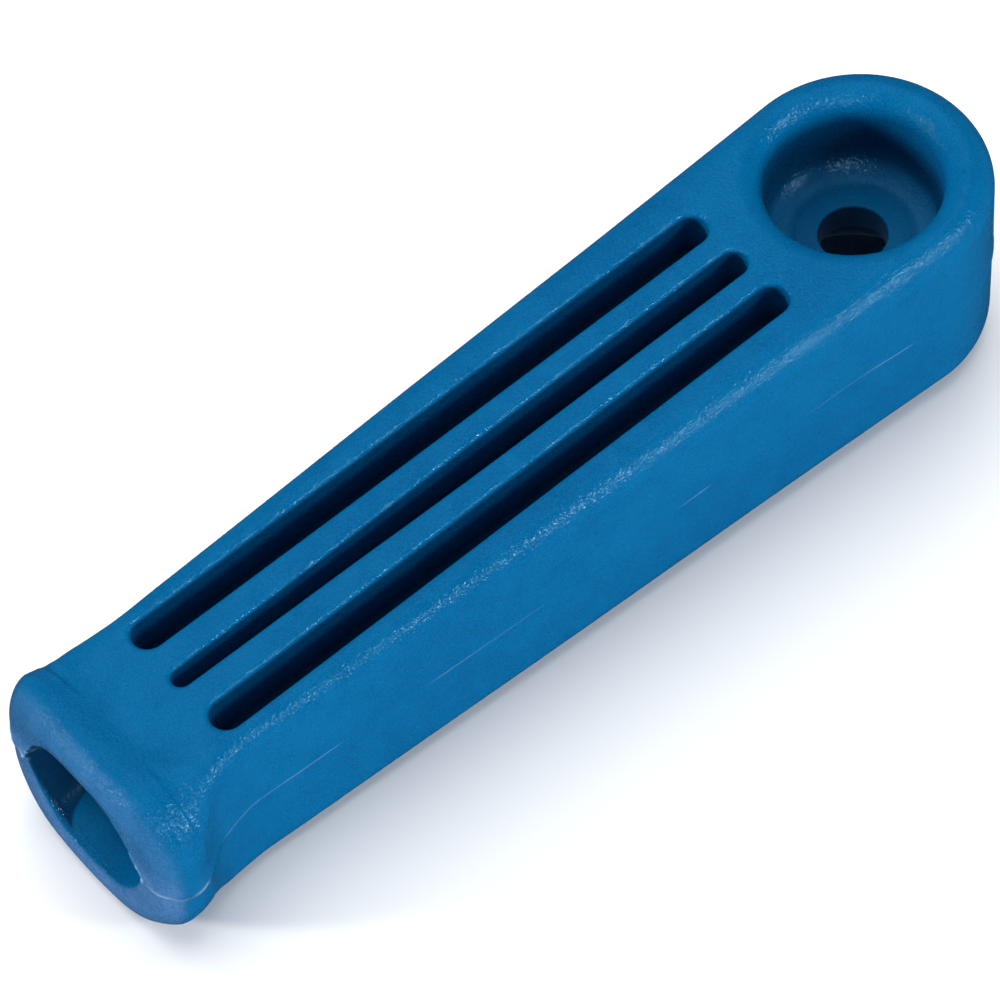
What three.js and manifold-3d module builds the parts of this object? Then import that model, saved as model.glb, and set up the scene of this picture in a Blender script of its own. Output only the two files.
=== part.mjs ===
// Moulded plastic file handle in one piece: a tang socket in the nose, three finger slots in each
// broad face and a stepped hanging hole in the butt. Millimetres, +Z up.
// Origin: on the tang axis, halfway between the nose and the butt. +X runs from nose to butt,
// Y is the width, and Z = 0 is the mould parting plane.
// All x values below are counted from the mouth of the tang socket; the finished mesh is moved
// back by MOUTH_TO_ORIGIN.

import * as THREE from 'three';
import { mergeVertices } from 'three/addons/utils/BufferGeometryUtils.js';
import Module from 'manifold-3d';

const manifold = await Module();
manifold.setup();

const { lerp, smoothstep, degToRad } = THREE.MathUtils;

// ---------------------------------------------------------------- overall dimensions
const LENGTH = 110;              // mouth rim to butt
const FRONT_PROUD = 0.5;         // how far the middle of the end face stands forward of its sides
const FRONT_HALF = 10;           // half-width over which it stands forward
const FRONT_FADE = 4.5;          // x at which the forward bulge has died out
const MOUTH_TO_ORIGIN = (LENGTH - FRONT_PROUD) / 2;

// Broad faces: two planes that spread apart towards the butt.
const FACE_Z0 = 9.76;            // half-thickness at x = 0
const FACE_SLOPE = 0.0175;       // growth of the half-thickness per mm
const faceZ = (x) => FACE_Z0 + FACE_SLOPE * x;

// ---------------------------------------------------------------- helpers
const quarterTurn = (step, steps) => (Math.PI / 2) * step / steps;

// Value at x in a table of [x, value] rows; x must lie within the table.
function interpolate(table, x) {
  const next = Math.max(1, table.findIndex(([rowX]) => x <= rowX));
  const [x0, value0] = table[next - 1];
  const [x1, value1] = table[next];
  return value0 + (value1 - value0) * (x - x0) / (x1 - x0);
}

// Quarter arc that rounds an opening's rim, from the wall up and out to the face.
// Points are [distance out from the wall, height relative to the face].
function rimArc(radius, steps) {
  return Array.from({ length: steps + 1 }, (_, i) => {
    const angle = quarterTurn(i, steps);
    return [radius * (1 - Math.cos(angle)), radius * Math.sin(angle) - radius];
  });
}

// Closed three.js geometry to a solid for cutting.
function toSolid(source) {
  source.deleteAttribute('normal');
  source.deleteAttribute('uv');
  const geometry = mergeVertices(source, 1e-5);
  const index = geometry.index.array;
  const triangles = [];
  for (let t = 0; t < index.length; t += 3) {
    const [a, b, c] = index.slice(t, t + 3);
    // merging collapses triangles where points coincide
    if (a !== b && b !== c && c !== a) triangles.push(a, b, c);
  }
  return new manifold.Manifold(new manifold.Mesh({
    numProp: 3,
    vertProperties: new Float32Array(geometry.getAttribute('position').array),
    triVerts: new Uint32Array(triangles),
  }));
}

function toGeometry(solid) {
  const { vertProperties, triVerts } = solid.getMesh();
  const geometry = new THREE.BufferGeometry();
  geometry.setAttribute('position', new THREE.BufferAttribute(new Float32Array(vertProperties), 3));
  geometry.setIndex(new THREE.BufferAttribute(new Uint32Array(triVerts), 1));
  geometry.computeVertexNormals();
  return geometry;
}

// Solid through a row of rings with equal point counts: a regular prism is extruded in steps,
// and each step's vertices are then moved onto its ring.
function loft(rings) {
  const count = rings[0].length;
  const polygon = Array.from({ length: count }, (_, i) => {
    const angle = 2 * Math.PI * i / count;
    return new THREE.Vector2(Math.cos(angle), Math.sin(angle));
  });
  const steps = rings.length - 1;
  const options = { depth: steps, steps, bevelEnabled: false };
  const geometry = new THREE.ExtrudeGeometry(new THREE.Shape(polygon), options);
  const position = geometry.getAttribute('position');
  for (let v = 0; v < position.count; v++) {
    const angle = Math.atan2(position.getY(v), position.getX(v));
    const corner = (Math.round(angle / (2 * Math.PI) * count) + count) % count;
    const { x, y, z } = rings[Math.round(position.getZ(v))][corner];
    position.setXYZ(v, x, y, z);
  }
  return toSolid(geometry);
}

// ---------------------------------------------------------------- body
const BUTT_RADIUS = 13.15;       // round butt, seen from above
const BUTT_X = LENGTH - BUTT_RADIUS;
const BUTT_STEPS = 12;
const BUTT_TIP_INSET = 0.02;     // the end cap takes its section from this far before the tip

const SIDE_DRAFT = Math.tan(degToRad(0.4));   // mould draft of the sides
const DRAFT_FADE = 2;            // the draft shrinks to nothing within this distance of y = 0
const EDGE_RADIUS_WAIST = 2;
const EDGE_RADIUS_BUTT = 3;
const EDGE_STEPS = 5;

// Flared nose lip and the waist behind it: x, half-width, half-thickness, edge radius
const NOSE_STATIONS = [
  [0.00, 10.90, 8.45, 6.6],
  [0.25, 11.75, 9.00, 7.0],
  [0.70, 12.45, 9.35, 7.2],
  [1.40, 13.02, 9.52, 7.3],
  [2.40, 13.40, 9.58, 7.3],
  [3.80, 13.37, 9.70, 7.2],
  [5.20, 12.83, 9.88, 6.4],
  [6.30, 11.97, 10.00, 5.2],
  [7.40, 11.16, 10.00, 3.9],
  [8.80, 10.42, 10.02, 2.7],
  [10.40, 10.09, 10.00, 2.3],
];

// Grip from the waist to the round butt: x, half-width at the parting plane
const GRIP_START_X = 13.1;
const GRIP_SIDES = [
  [GRIP_START_X, 9.78], [19.2, 10.03], [29.3, 10.44],
  [49.5, 11.33], [74.7, 12.26], [BUTT_X, BUTT_RADIUS],
];
const GRIP_RING_X = [GRIP_START_X, 19.2, 29.3, 39, 49.5, 62, 74.7, 86, BUTT_X];

// Ring round a rounded rectangle: right (+Y) side, over the top, left side, underneath.
// roundOffset is the distance past the centre of the round butt, where each level of the side
// is a circle about that centre; it is 0 ahead of the butt.
function bodyRing({ x, halfWidth, halfHeight, edgeRadius, roundOffset = 0 }) {
  const inner = halfWidth - edgeRadius;
  const lastAngle = Math.acos(Math.max(0, (roundOffset - inner) / edgeRadius));
  const widthAt = (radius) => Math.sqrt(Math.max(0, radius * radius - roundOffset * roundOffset));
  const draft = SIDE_DRAFT * (halfHeight - edgeRadius);
  const side = widthAt(halfWidth);

  const edge = Array.from({ length: EDGE_STEPS + 1 }, (_, i) => {
    const angle = lastAngle * i / EDGE_STEPS;
    const y = widthAt(inner + edgeRadius * Math.cos(angle));
    return [
      y - draft * Math.min(1, y / DRAFT_FADE),
      halfHeight - edgeRadius + edgeRadius * Math.sin(angle),
    ];
  });
  const edgeBack = [...edge].reverse();
  return [
    [side, 0],
    ...edge,
    ...edgeBack.map(([y, z]) => [-y, z]),
    [-side, 0],
    ...edge.map(([y, z]) => [-y, -z]),
    ...edgeBack.map(([y, z]) => [y, -z]),
  ].map(([y, z]) => new THREE.Vector3(x, y, z));
}

// Nose ring, with its middle bulging forward.
function noseRing([x, halfWidth, halfHeight, edgeRadius]) {
  const points = bodyRing({ x, halfWidth, halfHeight, edgeRadius });
  const share = smoothstep(FRONT_FADE - x, 0, FRONT_FADE);
  for (const point of points) {
    point.x -= FRONT_PROUD * share * Math.max(0, 1 - (point.y / FRONT_HALF) ** 2);
  }
  return points;
}

function gripRing(x) {
  const share = (x - GRIP_START_X) / (BUTT_X - GRIP_START_X);
  return bodyRing({
    x,
    halfWidth: interpolate(GRIP_SIDES, x),
    halfHeight: faceZ(x),
    edgeRadius: lerp(EDGE_RADIUS_WAIST, EDGE_RADIUS_BUTT, share),
  });
}

function buttRing(step) {
  const x = BUTT_X + BUTT_RADIUS * Math.sin(quarterTurn(step, BUTT_STEPS));
  const sectionX = Math.min(x, LENGTH - BUTT_TIP_INSET);
  return bodyRing({
    x,
    halfWidth: BUTT_RADIUS,
    halfHeight: faceZ(sectionX),
    edgeRadius: EDGE_RADIUS_BUTT,
    roundOffset: sectionX - BUTT_X,
  });
}

function body() {
  return loft([
    ...NOSE_STATIONS.map(noseRing),
    ...GRIP_RING_X.map(gripRing),
    ...Array.from({ length: BUTT_STEPS }, (_, i) => buttRing(i + 1)),
  ]);
}

// ---------------------------------------------------------------- tang socket
// x, half-width, half-height; the first station lies ahead of the end face
const SOCKET_STATIONS = [
  [-1.5, 9.15, 7.70],
  [0.0, 8.90, 7.45],
  [2.5, 8.40, 6.40],
  [6.0, 7.70, 4.60],
  [11.0, 6.90, 2.95],
  [30.0, 4.90, 2.30],
  [56.0, 2.30, 1.60],
];
const SOCKET_POWER = 3;          // superellipse exponent of the section
const SOCKET_SEGMENTS = 32;

function socketRing([x, halfWidth, halfHeight]) {
  const flatten = (value) => Math.sign(value) * Math.abs(value) ** (2 / SOCKET_POWER);
  return Array.from({ length: SOCKET_SEGMENTS }, (_, i) => {
    const angle = 2 * Math.PI * i / SOCKET_SEGMENTS;
    const y = halfWidth * flatten(Math.cos(angle));
    const z = halfHeight * flatten(Math.sin(angle));
    return new THREE.Vector3(x, y, z);
  });
}

const socketCutter = () => loft(SOCKET_STATIONS.map(socketRing));

// ---------------------------------------------------------------- finger slots
const SLOT_START_X = 12.5;
const SLOT_END_X = 82;
const SLOT_PITCH = 5.75;         // spacing of the centre lines
const SLOT_DEPTH = 5.8;
const SLOT_EDGE_RADIUS = 0.6;
const SLOT_EDGE_STEPS = 2;
const SLOT_END_STEPS = 5;
const SLOT_OVERRUN = 1.5;        // cutter height above the face
const SLOT_SIDE_X = [30, 40, 50, 66];   // outline points along the sides

// x, half-width
const OUTER_SLOT = [[SLOT_START_X, 1.70], [SLOT_END_X, 1.74]];
const MIDDLE_SLOT = [[SLOT_START_X, 0.98], [30, 1.14], [50, 1.44], [SLOT_END_X, 1.50]];

// Half circle as [x, y] points, counter-clockwise from startAngle.
function slotEnd(centreX, radius, startAngle) {
  return Array.from({ length: SLOT_END_STEPS + 1 }, (_, i) => {
    const angle = startAngle + Math.PI * i / SLOT_END_STEPS;
    return [centreX + radius * Math.cos(angle), radius * Math.sin(angle)];
  });
}

// Round-ended outline, counter-clockwise, widened all round by `grow`.
function slotOutline(halfWidths, grow) {
  const startRadius = interpolate(halfWidths, SLOT_START_X);
  const endRadius = interpolate(halfWidths, SLOT_END_X);
  const side = SLOT_SIDE_X.map((x) => [x, interpolate(halfWidths, x) + grow]);
  return [
    ...slotEnd(SLOT_END_X - endRadius, endRadius + grow, -Math.PI / 2),
    ...[...side].reverse(),
    ...slotEnd(SLOT_START_X + startRadius, startRadius + grow, Math.PI / 2),
    ...side.map(([x, y]) => [x, -y]),
  ];
}

// Cutter for one slot; faceSign is 1 for the top face and -1 for the bottom face.
function slotCutter(halfWidths, centreY, faceSign) {
  // growth of the outline, height relative to the face
  const levels = [
    [0, -SLOT_DEPTH],
    ...rimArc(SLOT_EDGE_RADIUS, SLOT_EDGE_STEPS),
    [SLOT_EDGE_RADIUS, SLOT_OVERRUN],
  ];
  const rings = levels.map(([grow, height]) => slotOutline(halfWidths, grow).map(
    ([x, y]) => new THREE.Vector3(x, centreY + y, faceSign * (faceZ(x) + height)),
  ));
  if (faceSign < 0) rings.reverse();   // keeps the triangles facing outwards
  return loft(rings);
}

// ---------------------------------------------------------------- hanging hole
// A through hole in a web, at the bottom of a counterbore in each face.
const HOLE_X = 96.2;
const HOLE_RADIUS = 3.4;
const HOLE_CUTTER_LENGTH = 8;
const HOLE_SEGMENTS = 48;
const WEB_HALF = 1.6;            // half-thickness of the web
const BORE_RADIUS = 8.75;
const BORE_FILLET = 3;           // fillet between floor and wall
const FLOOR_RADIUS = BORE_RADIUS - BORE_FILLET;
const RIM_RADIUS = 2.5;          // rounding of the counterbore's rim
const BORE_ARC_STEPS = 4;
const BORE_OVERRUN = 2;          // cutter height above the face

function counterboreCutter(faceSign) {
  const top = faceZ(HOLE_X);
  const profile = [[0, WEB_HALF]];   // radius, z
  for (let i = 0; i <= BORE_ARC_STEPS; i++) {
    const angle = quarterTurn(i, BORE_ARC_STEPS);
    profile.push([
      FLOOR_RADIUS + BORE_FILLET * Math.sin(angle),
      WEB_HALF + BORE_FILLET * (1 - Math.cos(angle)),
    ]);
  }
  for (const [out, height] of rimArc(RIM_RADIUS, BORE_ARC_STEPS)) {
    profile.push([BORE_RADIUS + out, top + height]);
  }
  profile.push([BORE_RADIUS + RIM_RADIUS, top + BORE_OVERRUN], [0, top + BORE_OVERRUN]);

  const points = profile.map(([radius, z]) => new THREE.Vector2(radius, z));
  const geometry = new THREE.LatheGeometry(points, HOLE_SEGMENTS);
  geometry.rotateX(Math.PI / 2);   // lathe axis to Z
  if (faceSign < 0) geometry.rotateX(Math.PI);
  geometry.translate(HOLE_X, 0, 0);

  // the rim follows the sloping face, the floor stays level
  const position = geometry.getAttribute('position');
  for (let v = 0; v < position.count; v++) {
    const z = position.getZ(v);
    const share = smoothstep(Math.abs(z), WEB_HALF + BORE_FILLET, top - RIM_RADIUS);
    position.setZ(v, z + Math.sign(z) * share * (faceZ(position.getX(v)) - top));
  }
  return toSolid(geometry);
}

function throughHoleCutter() {
  const geometry = new THREE.CylinderGeometry(
    HOLE_RADIUS, HOLE_RADIUS, HOLE_CUTTER_LENGTH, HOLE_SEGMENTS,
  );
  geometry.rotateX(Math.PI / 2);   // cylinder axis to Z
  geometry.translate(HOLE_X, 0, 0);
  return toSolid(geometry);
}

// ---------------------------------------------------------------- assembly
function handleSolid() {
  let handle = body().subtract(socketCutter());
  for (const faceSign of [1, -1]) {
    for (const row of [-1, 0, 1]) {
      const halfWidths = row === 0 ? MIDDLE_SLOT : OUTER_SLOT;
      handle = handle.subtract(slotCutter(halfWidths, row * SLOT_PITCH, faceSign));
    }
  }
  return handle
    .subtract(counterboreCutter(1))
    .subtract(counterboreCutter(-1))
    .subtract(throughHoleCutter());
}

const bluePlastic = new THREE.MeshStandardMaterial({
  color: 0x0a66a3,
  roughness: 0.5,
  metalness: 0,
});

const handleBody = new THREE.Mesh(toGeometry(handleSolid()), bluePlastic);
handleBody.name = 'handle_body';
handleBody.position.x = -MOUTH_TO_ORIGIN;

const fileHandle = new THREE.Group();
fileHandle.name = 'file_handle';
fileHandle.add(handleBody);

export default fileHandle;
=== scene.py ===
# Moulded plastic file handle. It lies along x: the nose with its lens-shaped mouth is at -x, the
# round butt with its hole is at +x, the width is along y and the thickness along z.
# Lengths are millimetres in the shape functions, with x counted from the nose. Objects, lights
# and camera are in metres in the row frame.
import itertools
import math

import bpy
import numpy as np
from mathutils import Matrix, Vector


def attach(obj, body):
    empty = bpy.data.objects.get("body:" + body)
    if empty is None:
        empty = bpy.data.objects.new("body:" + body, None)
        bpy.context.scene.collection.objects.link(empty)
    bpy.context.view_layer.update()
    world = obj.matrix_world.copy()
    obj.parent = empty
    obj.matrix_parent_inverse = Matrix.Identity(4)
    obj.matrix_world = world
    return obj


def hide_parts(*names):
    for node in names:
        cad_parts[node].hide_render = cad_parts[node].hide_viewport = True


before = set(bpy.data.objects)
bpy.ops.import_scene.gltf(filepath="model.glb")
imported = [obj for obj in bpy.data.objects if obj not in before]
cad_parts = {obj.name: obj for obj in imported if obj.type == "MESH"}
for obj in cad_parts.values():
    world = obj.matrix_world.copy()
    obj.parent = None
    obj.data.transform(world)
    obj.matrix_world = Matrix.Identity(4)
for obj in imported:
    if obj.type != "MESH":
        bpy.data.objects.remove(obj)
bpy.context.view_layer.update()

MM = 0.001

# ---------------------------------------------------------------- dimensions, mm
ORIGIN = 54.75                  # x of the row frame's origin
LENGTH = 110.0
BUTT_R = 13.15
BUTT_X = LENGTH - BUTT_R
TAPER = 0.0406                  # half angle of the sides seen from above, rad
DRAFT = math.tan(math.radians(0.4))

# Stations along the handle: x, size
WIDTH = [       # half width of the nose
    (-3, 13.06), (0.0, 13.08), (2.0, 13.45), (3.8, 13.37), (5.2, 12.83), (6.3, 11.97),
    (7.4, 11.16), (8.8, 10.42), (10.4, 10.07), (13.1, 9.76), (19.2, 10.03), (24.0, 10.225)]
BULGE = [       # swelling of the sides past the straight taper
    (13.1, 0.02), (29.3, 0.023), (49.5, 0.09), (62, 0.06), (76, 0.0), (120, 0.0)]
THICK = [       # half thickness
    (-3, 10.05), (0.0, 10.05), (2.0, 10.08), (3.8, 10.05), (5.2, 9.97), (6.3, 9.88),
    (7.4, 9.83), (8.8, 9.86), (10.4, 9.95), (13.1, 10.09), (19.2, 10.12), (29.3, 10.24),
    (49.5, 10.55), (74.7, 11.03), (96.9, 11.47), (115, 11.79)]
EDGE = [        # radius between sides and faces
    (-3, 7.6), (3.8, 7.4), (5.2, 6.55), (6.3, 5.1), (8.8, 2.65), (13.1, 1.98),
    (96.0, 3.0), (120, 3.0)]

# Radius round the end face: at the sides, lower face and upper face
LIP_R_SIDE, LIP_R_FACE, LIP_R_TOP = 2.5, 1.9, 2.9
FRONT_X, FRONT_ARCH = 0.47, -0.59         # the end face's x, and how it bows along y
FRONT_DISH = 0.35                         # dip towards the mouth
FRONT_LEAN = 0.06                         # slope back towards the upper face

# Tang socket stations: x, half width, half height, power of the lens curve
MOUTH = [
    (-3.0, 9.35, 7.6, 3.2), (0.0, 8.86, 6.75, 3.3), (2.5, 8.35, 6.0, 3.5),
    (6.0, 7.75, 4.60, 4.0), (11.0, 6.9, 2.6, 6.0), (30.0, 4.9, 2.2, 8.0),
    (56.0, 2.3, 1.6, 8.0), (70.0, 1.0, 1.2, 8.0)]
MOUTH_EDGE = 0.22
SOCKET_X, SOCKET_END_R = 56.0, 0.7        # inner end of the socket

# Three slots side by side in each face; the tables are x, size
SLOT_X0, SLOT_X1 = 12.5, 82.05
SLOT_PITCH = [(12.0, 5.81), (83.0, 5.70)]
SLOT_OUTER = [(12.0, 1.70), (83.0, 1.74)]                               # half width
SLOT_MIDDLE = [(12.5, 0.98), (30.0, 1.14), (50.0, 1.44), (83.0, 1.50)]  # half width
SLOT_DEPTH, SLOT_FLOOR_R, SLOT_DRAFT = 6.6, 1.4, 0.012
SLOT_EDGE = 0.6

# Hole through the butt, with a counterbore from each face down to a web (WEB is its half)
HOLE_X, HOLE_R, HOLE_EDGE, WEB = 96.2, 3.4, 0.2, 1.6
BORE_R, BORE_FILLET, RIM_R, FLOOR_R = 8.75, 3.0, 2.6, 5.75

# Height of the mould's parting line on the -y and +y sides: x, z
PARTING_NEAR = [
    (-2, 0.0), (3, 0.0), (8, 0.1), (12, 0.3), (25, 0.3), (30, -0.05), (55, -0.1),
    (65, 0.3), (75, 0.55), (84, 0.8), (92, 0.2), (98, 0.0), (112, 0.0)]
PARTING_FAR = [
    (-2, 0.0), (5, 0.0), (15, 0.1), (35, 0.2), (60, -0.1), (80, 0.15), (98, 0.0), (112, 0.0)]


# ---------------------------------------------------------------- small maths
CORNERS = list(itertools.product((0, 1), repeat=3))


def curve(table, column=1):
    """Smooth monotone curve through a table, and its slope, as two functions of x."""
    rows = np.array(table, float)
    xs, ys = rows[:, 0], rows[:, column]
    spans = np.diff(xs)
    slopes = np.diff(ys) / spans
    tangents = np.zeros(len(xs))
    tangents[0], tangents[-1] = slopes[0], slopes[-1]
    for i in range(1, len(xs) - 1):
        before, after = slopes[i - 1], slopes[i]
        if before * after > 0:
            weight0 = 2 * spans[i] + spans[i - 1]
            weight1 = spans[i] + 2 * spans[i - 1]
            tangents[i] = (weight0 + weight1) / (weight0 / before + weight1 / after)

    # tabulated once, because it is read millions of times
    samples = np.linspace(-4, 116, 12001)
    x = np.clip(samples, xs[0], xs[-1])
    i = np.clip(np.searchsorted(xs, x) - 1, 0, len(xs) - 2)
    t = (x - xs[i]) / spans[i]
    values = (ys[i] * (2 * t**3 - 3 * t**2 + 1)
              + spans[i] * tangents[i] * (t**3 - 2 * t**2 + t)
              + ys[i + 1] * (-2 * t**3 + 3 * t**2)
              + spans[i] * tangents[i + 1] * (t**3 - t**2))
    steepness = np.gradient(values, samples)
    return (lambda x: np.interp(x, samples, values)), (lambda x: np.interp(x, samples, steepness))


def ease(start, end, value):
    """Smooth step: 0 at start, 1 at end, which may be the smaller."""
    t = np.clip((value - start) / (end - start), 0, 1)
    return t * t * (3 - 2 * t)


def bell(offset, width):
    return np.exp(-(offset / width) ** 2)


def inside_round(a, b, r):
    """Both: intersection of two distances with its edge rounded to r."""
    return np.minimum(-r, np.maximum(a, b)) + np.hypot(np.maximum(a + r, 0), np.maximum(b + r, 0))


def lattice_value(i, j, k, seed):
    """Repeatable scrambled value in -1..1 for each whole-number point."""
    n = ((i.astype(np.int64) * 73856093) ^ (j.astype(np.int64) * 19349663)
         ^ (k.astype(np.int64) * 83492791) ^ (seed * 2654435761))
    n = (n ^ (n >> 13)) * 1274126177 & 0x7FFFFFFF
    n = (n ^ (n >> 16)) * 1911520717 & 0x7FFFFFFF
    return (n & 0xFFFFFF) / float(0xFFFFFF) * 2 - 1


def noise(x, y, z, size, seed):
    """Smooth value noise in -1..1 with features of about `size`."""
    place = np.broadcast_arrays(*(np.asarray(v) / size for v in (x, y, z)))
    cell = [np.floor(v) for v in place]
    weights = [ease(0, 1, v - whole) for v, whole in zip(place, cell)]
    total = 0
    for corner in CORNERS:
        term = lattice_value(*(whole + step for whole, step in zip(cell, corner)), seed)
        for weight, step in zip(weights, corner):
            term = term * (weight if step else 1 - weight)
        total = total + term
    return total


width_at, width_slope = curve(WIDTH)
bulge_at, _ = curve(BULGE)
thick_at, thick_slope = curve(THICK)
edge_at, _ = curve(EDGE)
mouth_width, _ = curve(MOUTH, 1)
mouth_height, _ = curve(MOUTH, 2)
mouth_power, _ = curve(MOUTH, 3)
pitch_at, _ = curve(SLOT_PITCH)
outer_at, _ = curve(SLOT_OUTER)
middle_at, _ = curve(SLOT_MIDDLE)
part_near, _ = curve(PARTING_NEAR)
part_far, _ = curve(PARTING_FAR)


def parting(x, y):
    """Height of the parting line, blended across the handle."""
    far = ease(-4, 4, y)
    return part_near(x) * (1 - far) + part_far(x) * far


# ------------------------------------------- the moulding, as a distance (negative inside)
def side_distance(x, y, z):
    """Tapered sides and round butt, blended into the flared nose."""
    ay = np.abs(y)
    along = x - BUTT_X
    ca, sa = math.cos(TAPER), math.sin(TAPER)
    round_end = along * ca + ay * sa > 0
    side = np.where(round_end, np.hypot(along, ay), ay * ca - along * sa) - BUTT_R - bulge_at(x)
    nose = (ay - width_at(x)) / np.sqrt(1 + width_slope(x) ** 2)
    behind = ease(12.0, 22.0, x)
    return nose * (1 - behind) + side * behind + DRAFT * np.abs(z)


def face_distance(x, y, z):
    """Upper and lower faces: they swell behind the mouth and dip where the lip runs out."""
    face = (np.abs(z) - thick_at(x)) / np.sqrt(1 + thick_slope(x) ** 2)
    part = x < 16
    x, y = x[part], y[part]
    middle = np.clip(1 - (y / 11.5) ** 2, 0, 1) ** 2
    dip_x = 6.3 + 0.05 * y ** 2
    face[part] -= middle * (0.25 * bell(x - 3.2, 1.6) - 0.38 * bell(x - dip_x, 1.9))
    return face


def front_distance(x, y, z):
    """End face: bowed, leaning and dished towards the mouth."""
    front = FRONT_X - x
    part = x < 8
    y, z = y[part], z[part]
    bow = np.clip(1 - (y / 10.0) ** 2, -1.2, 1)
    dish = np.clip(1 - (y / 8.75) ** 2, 0, 1) * ease(1.6, 0.0, mouth_distance(0.0 * y, y, z))
    front[part] += FRONT_LEAN * z + FRONT_ARCH * bow + FRONT_DISH * dish
    return front


def body_outside(x, y, z):
    # the long edges are fuller at two opposite corners of the nose
    fuller = ease(9.5, 5.0, x) * np.where(
        (y > 0) & (z > 0), 0.45, np.where((y < 0) & (z < 0), 1.15, 0.0))
    section = inside_round(side_distance(x, y, z), face_distance(x, y, z), edge_at(x) + fuller)
    # the lip radius changes from the faces round to the sides
    sideways = (np.abs(y) / 13.4) ** 2
    sideways = sideways / (sideways + (np.abs(z) / 10.0) ** 2 + 1e-9)
    face_r = np.where(z > 0, LIP_R_TOP, LIP_R_FACE)
    side_r = LIP_R_SIDE + np.where(y > 0, 0.95, 0.0) * ease(0.8, 5.0, z)
    return inside_round(section, front_distance(x, y, z), face_r + (side_r - face_r) * sideways)


def flash_height(x, y):
    """How far the thin line of flash stands out along the parting line, most at the lip."""
    height = (0.05 + 0.025 * noise(x, y, 0, size=6.0, seed=3)
              + 0.012 * noise(x, y, 0, size=0.9, seed=4))
    height = height + ease(13.0, 5.5, x) * (
        0.18 + 0.07 * noise(x, y, 0, size=1.1, seed=5) + 0.05 * noise(x, y, 0, size=0.35, seed=6))
    return np.maximum(height, 0.008) * np.where(y < 0, 1.0, 0.9)


def half_step(x, y):
    """How far the upper mould half's surface stands out past the lower one's."""
    step = 0.05 + 0.02 * noise(x, 0, 0, size=14.0, seed=7)
    step = step + 0.07 * ease(94.0, 102.0, x)                       # more at the butt
    behind_lip = ease(4.5, 6.5, x) * ease(13.5, 9.0, x)
    return step + np.where(y < 0, 0.30, 0.08) * behind_lip


def mouth_distance(x, y, z):
    """Distance outside the lens-shaped section of the tang socket at x."""
    width, height, power = mouth_width(x), mouth_height(x), mouth_power(x)
    share = np.minimum(np.abs(y) / width, 1.6)
    within = np.minimum(share, 1.0)
    slope = height * power * within ** (power - 1) / width
    edge = height * (1 - within**power) - (share - within) * height * power
    return (np.abs(z) - edge) / np.sqrt(1 + slope * slope)


def socket(x, y, z):
    return inside_round(mouth_distance(x, y, z), x - SOCKET_X, SOCKET_END_R)


def slots(x, y, z):
    """Round-ended slots, narrowing slightly with depth."""
    depth = thick_at(x) - np.abs(z)
    nearest = np.inf
    for k in (-1, 0, 1):
        half = middle_at(x) if k == 0 else outer_at(x)
        spine_x = np.clip(x, SLOT_X0 + half, SLOT_X1 - half)
        wall = np.hypot(x - spine_x, y - k * pitch_at(x)) - half + SLOT_DRAFT * depth
        nearest = np.minimum(nearest, inside_round(wall, depth - SLOT_DEPTH, SLOT_FLOOR_R))
    return nearest


def from_hole(x, y):
    """Distance from the axis of the hole."""
    return np.hypot(x - HOLE_X, y)


def counterbore(x, y, z):
    az = np.abs(z)
    wall = from_hole(x, y) - BORE_R - 0.01 * (az - 8.0)             # opens slightly outwards
    return inside_round(wall, WEB - az, BORE_FILLET)


def cut_mouth(body, x, y, z):
    """Takes out the socket and leaves a ragged burr at the two ends of the mouth's edge."""
    hole = socket(x, y, z)
    rim = np.hypot(body, hole)
    ragged = (0.5 + 0.9 * noise(x, y, z, size=0.8, seed=19)
              + 0.25 * noise(x, y, z, size=0.4, seed=12))
    burr = 0.20 * ease(4.5, 8.3, np.abs(y)) * np.clip(ragged, -0.3, 1.3)
    burr = burr * ease(3.0, 1.2, x) * ease(-0.9, 0.1, z)
    return inside_round(body, -hole, MOUTH_EDGE) - burr * bell(rim, 0.32)


def cut_butt(body, x, y, z):
    body = inside_round(body, -counterbore(x, y, z), RIM_R)
    return inside_round(body, HOLE_R - from_hole(x, y), HOLE_EDGE)


def moulding(x, y, z):
    body = body_outside(x, y, z)
    above = z - parting(x, y)
    near = np.abs(above) < 0.6
    line = np.zeros_like(body)
    line[near] = flash_height(x[near], y[near]) * bell(above[near], 0.07)
    step = half_step(x, y) * (ease(-0.05, 0.05, above) * np.exp(-np.maximum(above, 0) / 2.5)
                              - 0.5 * np.exp(-np.abs(above) / 2.5))
    body = body - line - step

    part = x < 60
    body[part] = cut_mouth(body[part], x[part], y[part], z[part])
    part = (x > SLOT_X0 - 2) & (x < SLOT_X1 + 2)
    body[part] = inside_round(body[part], -slots(x[part], y[part], z[part]), SLOT_EDGE)
    part = x > 82
    body[part] = cut_butt(body[part], x[part], y[part], z[part])
    return body


# ---------------------------------------------------------------- surface mesh of that distance
CELL = 0.3
RELAX_ROUNDS = 3
SLAB = 24                       # grid layers along x worked out at a time


def graded(*stretches):
    """Grid lines over adjoining stretches of (low, high, step)."""
    lines = [np.linspace(lo, hi, int(round((hi - lo) / step)) + 1) for lo, hi, step in stretches]
    return np.concatenate([lines[0]] + [line[1:] for line in lines[1:]])


def fine_layers():
    """Heights of the grid layers: close together at the parting line, then wider."""
    z, gap, heights = 0.0, 0.045, [0.0]
    while z < 12.4:
        z += gap
        heights.append(z)
        if z > 0.26:
            gap = min(gap * 1.35, CELL)
    up = np.array(heights)
    return np.concatenate([-up[:0:-1], up])


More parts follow.
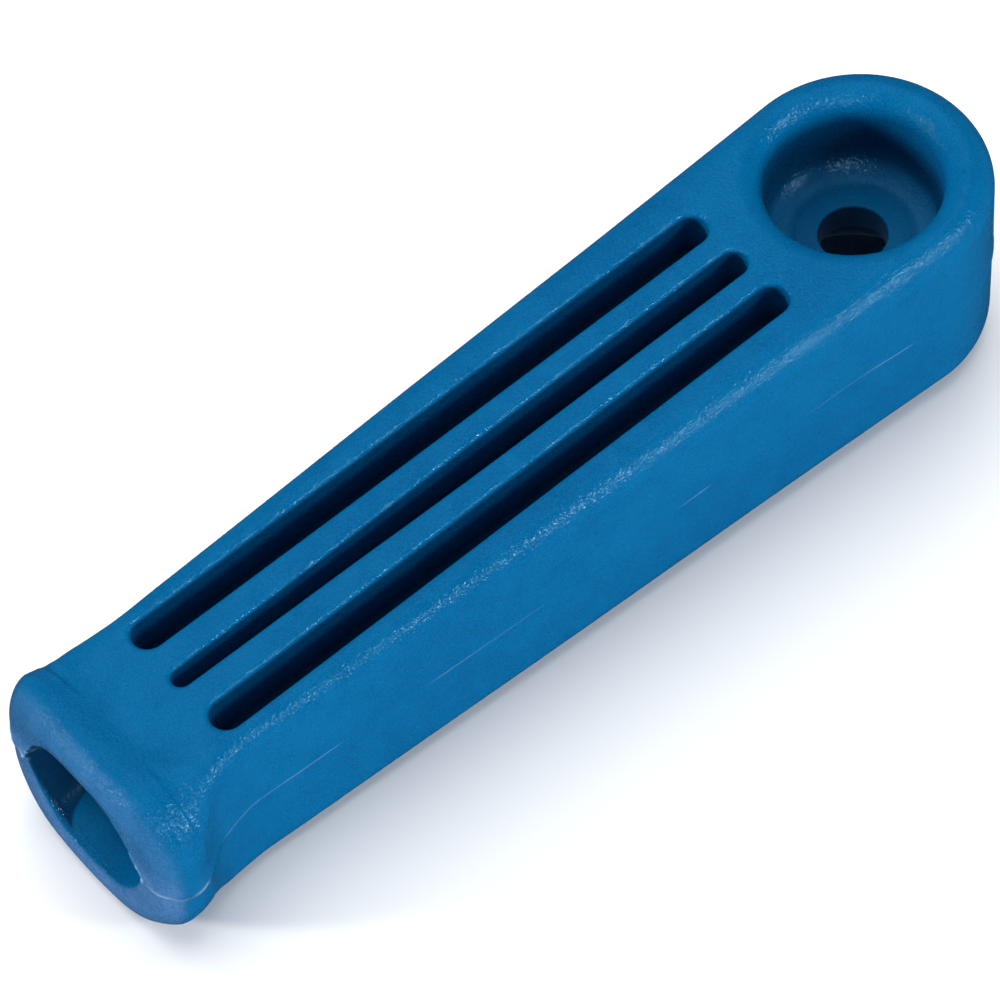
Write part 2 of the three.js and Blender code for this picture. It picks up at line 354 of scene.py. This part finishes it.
# each direction is shifted a little off round values
GRID = (
    graded((-1.5, 1.5, CELL * 0.5), (1.5, 14.0, CELL * 0.8), (14.0, 111.0, CELL)) + 0.0071,
    graded((-14.4, -9.6, CELL), (-9.6, -7.2, CELL * 0.5), (-7.2, 7.2, CELL),
           (7.2, 9.6, CELL * 0.5), (9.6, 14.4, CELL)) + 0.0113,
    fine_layers() + 0.013,
)


def lift(x, y, z):
    """Bends the layers so that the close ones follow the parting line."""
    return parting(x, y) * bell(z, 2.2)


def sample_grid():
    field = np.empty([len(lines) for lines in GRID], np.float32)
    for start in range(0, len(GRID[0]), SLAB):
        slab = np.meshgrid(GRID[0][start:start + SLAB], *GRID[1:], indexing="ij")
        x, y, z = (v.ravel() for v in slab)
        field[start:start + SLAB] = moulding(x, y, z + lift(x, y, z)).reshape(slab[0].shape)
    return field


def net():
    """One vertex in each cell the surface crosses, one quad round each crossed grid edge."""
    field = sample_grid()
    inside = field < 0
    cell_shape = [n - 1 for n in field.shape]
    filled = np.zeros(cell_shape, np.uint8)
    for corner in CORNERS:
        filled += inside[tuple(slice(o, o + n) for o, n in zip(corner, cell_shape))]
    cells = np.nonzero((filled > 0) & (filled < 8))
    count = len(cells[0])
    index = np.full(cell_shape, -1, np.int64)
    index[cells] = np.arange(count)

    def corner_of_cells(offset):
        at = [c + o for c, o in zip(cells, offset)]
        places = np.stack([lines[k] for lines, k in zip(GRID, at)], 1)
        return field[tuple(at)].astype(float), places

    # each vertex is the mean of the crossings on its cell's edges
    total, crossings = np.zeros((count, 3)), np.zeros(count)
    for start in CORNERS:
        for axis in range(3):
            if start[axis]:
                continue
            end = list(start)
            end[axis] = 1
            value0, place0 = corner_of_cells(start)
            value1, place1 = corner_of_cells(end)
            cut = (value0 < 0) != (value1 < 0)
            t = np.where(cut, value0 / np.where(cut, value0 - value1, 1), 0)
            total += np.where(cut[:, None], place0 + (place1 - place0) * t[:, None], 0)
            crossings += cut
    points = total / crossings[:, None]
    points[:, 2] += lift(*points.T)

    quads = []
    for axis in range(3):
        a, b = (axis + 1) % 3, (axis + 2) % 3
        edges = np.argwhere(np.diff(inside, axis=axis))
        edges = edges[(edges[:, a] > 0) & (edges[:, b] > 0)
                      & (edges[:, a] < cell_shape[a]) & (edges[:, b] < cell_shape[b])]
        ring = []
        for step_a, step_b in ((-1, -1), (0, -1), (0, 0), (-1, 0)):
            cell = edges.copy()
            cell[:, a] += step_a
            cell[:, b] += step_b
            ring.append(index[tuple(cell.T)])
        quad = np.stack(ring, 1)
        flip = ~inside[tuple(edges.T)]
        quad[flip] = quad[flip][:, ::-1]
        quads.append(quad)
    return points, np.concatenate(quads)


def gradient(points, reach=0.01):
    result = np.empty_like(points)
    for k in range(3):
        shift = np.zeros(3)
        shift[k] = reach
        rise = moulding(*(points + shift).T) - moulding(*(points - shift).T)
        result[:, k] = rise / (2 * reach)
    return result


def unit_normals(points, reach=0.01):
    normals = gradient(points, reach)
    return normals / np.maximum(np.linalg.norm(normals, axis=1), 1e-6)[:, None]


def settle(points, rounds, longest=0.25):
    """Moves the vertices onto the surface."""
    for _ in range(rounds):
        slope = gradient(points)
        steepness = np.maximum((slope * slope).sum(1), 0.05)
        move = -(moulding(*points.T) / steepness)[:, None] * slope
        size = np.linalg.norm(move, axis=1)
        move *= np.minimum(1, longest / np.maximum(size, 1e-9))[:, None]
        points = points + move
    return points


def relax(points, quads, rounds):
    """Evens out the vertices along the surface, away from the layers at the parting line."""
    edges = np.concatenate([quads[:, pair] for pair in ([0, 1], [1, 2], [2, 3], [3, 0])])
    first, second = edges.T
    count = len(points)
    free = ease(0.9, 1.8, np.abs(points[:, 2] - parting(points[:, 0], points[:, 1])))
    degree = np.bincount(edges.ravel(), minlength=count)
    for _ in range(rounds):
        sums = np.stack([np.bincount(first, v[second], count) + np.bincount(second, v[first], count)
                         for v in points.T], 1)
        normals = unit_normals(points)
        move = (sums / degree[:, None] - points) * 0.6 * free[:, None]
        move -= (move * normals).sum(1)[:, None] * normals
        points = settle(points + move, 1)
    return points


def flash_and_painted_light_channels(points, normals):
    """Per vertex: pale flash with a painted highlight on the counterbore's fillet, painted sheen on
    the end face, painted shade in the recesses, and how grained it is.
    """
    x, y, z = points.T
    upward = np.abs(normals[:, 2])
    above = z - parting(x, y)
    mouth = mouth_distance(x, y, z)
    off_mouth = ease(0.0, 0.25, mouth)
    depth = thick_at(x) - np.abs(z)
    radius = from_hole(x, y)

    # flash: patches along the parting line, and the ends of the mouth's edge
    patches = 0.5 * ease(0.0, 0.8, noise(x, 0, 0, size=5.0, seed=23))
    at_lip = ease(6.0, 4.2, x) * ease(-0.9, 0.3, noise(x, y, 0, size=1.3, seed=21))
    seam = bell(above, 0.085) * off_mouth * np.maximum(patches, at_lip)
    tips = ease(7.3, 8.4, np.abs(y)) * ease(2.2, 1.2, x) * ease(0.5, 0.12, np.abs(mouth))
    tips *= ease(-0.3, 0.5, noise(x, y, z, size=0.5, seed=22)) * ease(-0.9, 0.1, z)

    # painted sheen: faces turned towards -x at the nose's end face are made paler, less on the
    # upper lip
    painted_sheen = ease(0.30, 0.85, -normals[:, 0]) * ease(9.0, 5.0, x) * off_mouth
    painted_sheen *= 1.0 - 0.55 * ease(0.5, 4.0, z)

    # painted shade: recesses (slots, counterbores, socket, and a line just below the parting line)
    # are darkened where shade falls
    in_slot = ease(SLOT_X0 - 0.5, SLOT_X0, x) * ease(SLOT_X1 + 0.5, SLOT_X1, x)
    in_slot *= ease(0.6, 0.1, slots(x, y, z)) * ease(2.3, 6.3, depth)
    in_bore = ease(BORE_R + 0.4, BORE_R, radius) * ease(2.5, 6.0, depth)
    upright = ease(0.72, 0.35, upward) * ease(2.0, 3.5, radius - HOLE_R)
    # painted highlight: the counterbore's fillet ring gets less painted shade and a little pale
    # colour
    bore_ring_highlight = in_bore * ease(0.40, 0.72, upward) * ease(0.998, 0.95, upward)
    bore_ring_highlight *= ease(1.2, 2.2, radius - HOLE_R)
    in_socket = ease(0.3, 0.05, np.abs(socket(x, y, z))) * ease(60.0, 57.0, x)
    grained = 1.0 - in_socket * ease(0.4, 1.2, x)
    # painted cast shadow: a crisp arc darkens the far side of the socket just inside the mouth
    mouth_shadow_arc = ease(-0.18, 0.18, y - 4.7 + 2.1 * np.exp(-x / 1.1)) * ease(0.1, 0.6, x)
    in_socket *= np.maximum(0.85 * ease(0.8, 7.0, x), 0.95 * mouth_shadow_arc)
    # painted shade: a dark line below the overhang of the upper mould half behind the lip
    groove_shade = bell(above + 0.10, 0.13) * ease(4.4, 5.4, x) * ease(11.5, 8.0, x) * off_mouth
    bore_shade = (0.40 + 0.28 * upright - 0.34 * bore_ring_highlight) * in_bore
    shade = np.maximum.reduce([in_slot, bore_shade, in_socket, 0.8 * groove_shade])

    # flash, plus a faint painted highlight on the counterbore's fillet ring
    pale_flash_and_highlight = np.clip(seam + tips + 0.03 * bore_ring_highlight, 0, 1)
    return np.stack([pale_flash_and_highlight, painted_sheen, shade, grained], 1)


def handle_surface():
    points, quads = net()
    points = settle(points, 3)
    points = relax(points, quads, RELAX_ROUNDS)
    return settle(points, 2), quads


def handle_object(points, quads):
    normals = unit_normals(points, 0.012)
    places = (points - np.array([ORIGIN, 0, 0])) * MM
    mesh = bpy.data.meshes.new("handle_moulding")
    mesh.vertices.add(len(points))
    mesh.vertices.foreach_set("co", places.astype(np.float32).ravel())
    mesh.loops.add(quads.size)
    mesh.loops.foreach_set("vertex_index", quads.astype(np.int32).ravel())
    mesh.polygons.add(len(quads))
    mesh.polygons.foreach_set("loop_start", np.arange(0, quads.size, 4, dtype=np.int32))
    mesh.polygons.foreach_set("use_smooth", np.ones(len(quads), bool))
    mesh.update(calc_edges=True)
    mesh.validate()
    mesh.normals_split_custom_set_from_vertices(normals.astype(np.float32).tolist())
    # per vertex: flash, painted highlight, painted sheen, painted shade, and grain amount
    flash_and_painted_light = mesh.color_attributes.new("flash_and_painted_light", "FLOAT_COLOR", "POINT")
    channels = flash_and_painted_light_channels(points, normals)
    flash_and_painted_light.data.foreach_set("color", channels.astype(np.float32).ravel())
    return link(bpy.data.objects.new("handle_moulding", mesh))


def link(thing):
    bpy.context.scene.collection.objects.link(thing)
    return thing


# ---------------------------------------------------------------- materials
DEEP_BLUE = (0.0003, 0.078, 0.208, 1)
LIT_BLUE = (0.0006, 0.096, 0.240, 1)
GRAIN_BLUE = (0.0015, 0.140, 0.340, 1)
# painted sheen colour for the nose's end face
PAINTED_SHEEN_BLUE = (0.100, 0.190, 0.400, 1)
# pale flash colour, also used for a painted highlight
FLASH_AND_HIGHLIGHT_BLUE = (0.300, 0.480, 0.680, 1)
# painted shade colour for the recesses
PAINTED_SHADE_BLUE = (0.0020, 0.006, 0.026, 1)


class Shader:
    """A material built node by node; values may be numbers or sockets."""

    def __init__(self, name):
        self.material = bpy.data.materials.new(name)
        self.material.use_nodes = True
        self.tree = self.material.node_tree
        self.tree.nodes.clear()

    def add(self, kind, inputs, **settings):
        node = self.tree.nodes.new(kind)
        for key, value in settings.items():
            setattr(node, key, value)
        for key, value in inputs.items():
            if isinstance(value, bpy.types.NodeSocket):
                self.tree.links.new(value, node.inputs[key])
            else:
                node.inputs[key].default_value = value
        return node

    def math(self, operation, *values):
        return self.add("ShaderNodeMath", dict(enumerate(values)), operation=operation).outputs[0]

    def plus(self, a, b):
        return self.math("ADD", a, b)

    def minus(self, a, b):
        return self.math("SUBTRACT", a, b)

    def times(self, a, b):
        return self.math("MULTIPLY", a, b)

    def mix(self, share, a, b):
        return self.add("ShaderNodeMix", {0: share, 6: a, 7: b}, data_type="RGBA").outputs[2]

    def ramp(self, value, start, end, low=0.0, high=1.0):
        inputs = dict(enumerate((value, start, end, low, high)))
        return self.add("ShaderNodeMapRange", inputs, interpolation_type="SMOOTHSTEP").outputs[0]

    def noise(self, place, scale, detail, roughness):
        return self.add("ShaderNodeTexNoise", {"Vector": place, "Scale": scale, "Detail": detail,
                                               "Roughness": roughness}).outputs[0]

    def finish(self, inputs):
        surface = self.add("ShaderNodeBsdfPrincipled", inputs).outputs[0]
        self.add("ShaderNodeOutputMaterial", {0: surface})
        return self.material


def plastic():
    s = Shader("blue_plastic")
    place = s.add("ShaderNodeTexCoord", {}).outputs["Object"]
    mm = s.add("ShaderNodeVectorMath", {0: place, 1: (1000, 1000, 1000)},
               operation="MULTIPLY").outputs[0]
    x, y, z = s.add("ShaderNodeSeparateXYZ", {0: mm}).outputs

    # round floor of the counterbore: smooth, with fine radial marks
    dx = s.minus(x, HOLE_X - ORIGIN)
    radius = s.math("SQRT", s.plus(s.times(dx, dx), s.times(y, y)))
    web_floor = s.times(s.ramp(radius, FLOOR_R + 0.05, FLOOR_R - 0.15),
                        s.ramp(s.math("ABSOLUTE", z), WEB + 0.15, WEB + 0.05))
    angle = s.math("ARCTAN2", y, dx)
    polar = s.add("ShaderNodeCombineXYZ", {0: s.times(angle, 22.0), 1: s.times(radius, 0.25),
                                           2: 0.0}).outputs[0]
    spokes = s.noise(polar, scale=1.0, detail=3.0, roughness=0.6)

    # grain, faint in the socket and absent from the counterbore floor
    fine = s.noise(mm, scale=3.4, detail=1.0, roughness=0.4)
    finer = s.noise(mm, scale=8.0, detail=0.0, roughness=0.5)
    broad = s.noise(mm, scale=0.35, detail=3.0, roughness=0.5)
    patch = s.noise(mm, scale=0.06, detail=2.0, roughness=0.5)
    grain = s.plus(s.times(fine, 0.80), s.times(finer, 0.20))
    flash_and_painted_light = s.add("ShaderNodeAttribute", {}, attribute_name="flash_and_painted_light")
    grained = flash_and_painted_light.outputs["Alpha"]
    amount = s.times(s.minus(1.0, web_floor), s.plus(0.15, s.times(grained, 0.85)))
    height = s.plus(s.times(grain, amount), s.times(spokes, s.times(web_floor, 0.30)))
    height = s.minus(height, s.times(web_floor, 0.30))
    bump = s.add("ShaderNodeBump", {"Strength": 1.0, "Distance": 0.00013,
                                    "Height": height}).outputs[0]

    # colour: mottled blue, then the attribute's channels: flash with painted highlight, painted
    # sheen and painted shade
    flash_and_highlight, painted_sheen, shade = s.add("ShaderNodeSeparateColor", {0: flash_and_painted_light.outputs["Color"]}).outputs
    mottle = s.plus(s.times(broad, 0.5), s.times(patch, 0.5))
    colour = s.mix(s.ramp(mottle, 0.35, 0.65), DEEP_BLUE, LIT_BLUE)
    colour = s.mix(s.ramp(finer, 0.40, 0.68, high=0.5), colour, GRAIN_BLUE)
    # painted sheen on the end face, broken up by noise
    sheen_breakup = s.ramp(s.plus(s.times(broad, 0.4), s.times(fine, 0.6)), 0.30, 0.75, low=0.35)
    colour = s.mix(s.times(s.times(painted_sheen, sheen_breakup), 0.70), colour, PAINTED_SHEEN_BLUE)
    # pale flash, with a painted highlight on the counterbore's fillet
    colour = s.mix(s.times(flash_and_highlight, 0.75), colour, FLASH_AND_HIGHLIGHT_BLUE)
    # painted shade in the recesses
    colour = s.mix(s.times(shade, 0.76), colour, PAINTED_SHADE_BLUE)
    return s.finish({
        "Base Color": colour,
        "Roughness": s.plus(0.19, s.times(s.minus(broad, 0.5), 0.08)),
        "IOR": 1.45,
        "Specular IOR Level": s.plus(0.10, s.times(grained, 0.35)),
        "Specular Tint": (0.45, 0.80, 1.0, 1),
        "Normal": bump,
    })


def floor_material():
    return Shader("studio_floor").finish(
        {"Base Color": (0.96, 0.96, 0.96, 1), "Roughness": 0.9, "Specular IOR Level": 0.2})


points, quads = handle_surface()
handle = handle_object(points, quads)
handle.data.materials.append(plastic())
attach(handle, "root")
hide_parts("handle_body")

# ---------------------------------------------------------------- floor
FLOOR_HALF = 3.0
# Slope of the lower face, from its half thickness near each end, mm
FLOOR_TILT = math.atan((11.50 - 10.02) / (100.0 - 4.5))
FLOOR_GAP = 0.01                # clearance under the lowest vertex, mm


def studio_floor(points):
    """Square floor that falls towards +x, just under the tapered lower face."""
    below = -(points[:, 2] + math.tan(FLOOR_TILT) * (points[:, 0] - ORIGIN))
    drop = np.max(below) + FLOOR_GAP
    mesh = bpy.data.meshes.new("studio_floor")
    corners = [(i * FLOOR_HALF, j * FLOOR_HALF, 0) for i, j in ((-1, -1), (1, -1), (1, 1), (-1, 1))]
    mesh.from_pydata(corners, [], [(0, 1, 2, 3)])
    mesh.materials.append(floor_material())
    ground = link(bpy.data.objects.new("studio_floor", mesh))
    ground.location = (0, 0, -drop * MM)
    ground.rotation_euler = (0, FLOOR_TILT, 0)
    ground.visible_glossy = False
    return ground


studio_floor(points)


# ---------------------------------------------------------------- light
def area(name, place, size, power, size_y=None, glossy=True, diffuse=True):
    """Rectangular light aimed at the origin."""
    data = bpy.data.lights.new(name, "AREA")
    data.shape = "RECTANGLE"
    data.size = size
    data.size_y = size_y or size
    data.energy = power
    light = link(bpy.data.objects.new(name, data))
    light.location = place
    light.rotation_euler = (-Vector(place)).to_track_quat("-Z", "Y").to_euler()
    light.visible_glossy = glossy
    light.visible_diffuse = diffuse


# broad lights shape the form; the small sparkles only make highlights
area("overhead", (0.10, 0.28, 0.80), size=1.1, power=10.8, glossy=False)
area("key", (0.43, -0.77, 0.46), size=0.20, power=3.2, glossy=False)
area("side_fill", (-0.20, -0.97, 0.13), size=0.7, size_y=0.12, power=9.0, glossy=False)
area("front", (-0.80, 0.49, 0.31), size=0.16, power=7.0, glossy=False)
area("sparkle", (0.41, -0.78, 0.47), size=0.055, power=3.3, diffuse=False)
area("near_sparkle", (-0.43, -0.69, 0.58), size=0.055, power=1.8, diffuse=False)
area("front_sparkle", (-0.80, 0.49, 0.34), size=0.055, power=1.4, diffuse=False)

scene = bpy.context.scene
scene.world = bpy.data.worlds.new("studio")
scene.world.use_nodes = True
background = scene.world.node_tree.nodes["Background"]
background.inputs["Color"].default_value = (0.45, 0.75, 1.0, 1)
background.inputs["Strength"].default_value = 0.05
scene.view_settings.view_transform = "Standard"
scene.view_settings.look = "None"

# ---------------------------------------------------------------- camera
CAMERA_PLACE = (-0.13545, -0.18819, 0.33616)
HEADING = math.radians(31.90)   # from +y towards +x
DOWN = math.radians(54.80)      # below level
ROLL = math.radians(-9.18)


def camera_matrix():
    level = np.array([math.cos(HEADING), -math.sin(HEADING), 0.0])
    ahead = np.array([math.sin(HEADING), math.cos(HEADING), 0.0])
    vertical = np.array([0, 0, 1.0])
    back = vertical * math.sin(DOWN) - ahead * math.cos(DOWN)
    upward = ahead * math.sin(DOWN) + vertical * math.cos(DOWN)
    right = math.cos(ROLL) * level + math.sin(ROLL) * upward
    top = math.cos(ROLL) * upward - math.sin(ROLL) * level
    turn = Matrix(np.stack([right, top, back], 1).tolist()).to_4x4()
    return Matrix.Translation(CAMERA_PLACE) @ turn


lens = bpy.data.cameras.new("camera")
lens.sensor_fit = "HORIZONTAL"
lens.sensor_width = 36.0
lens.lens = 154.2114
lens.shift_x = 0.13564
lens.shift_y = -0.04160
lens.clip_start = 0.01
lens.clip_end = 20.0
camera = link(bpy.data.objects.new("camera", lens))
camera.matrix_world = camera_matrix()
scene.camera = camera
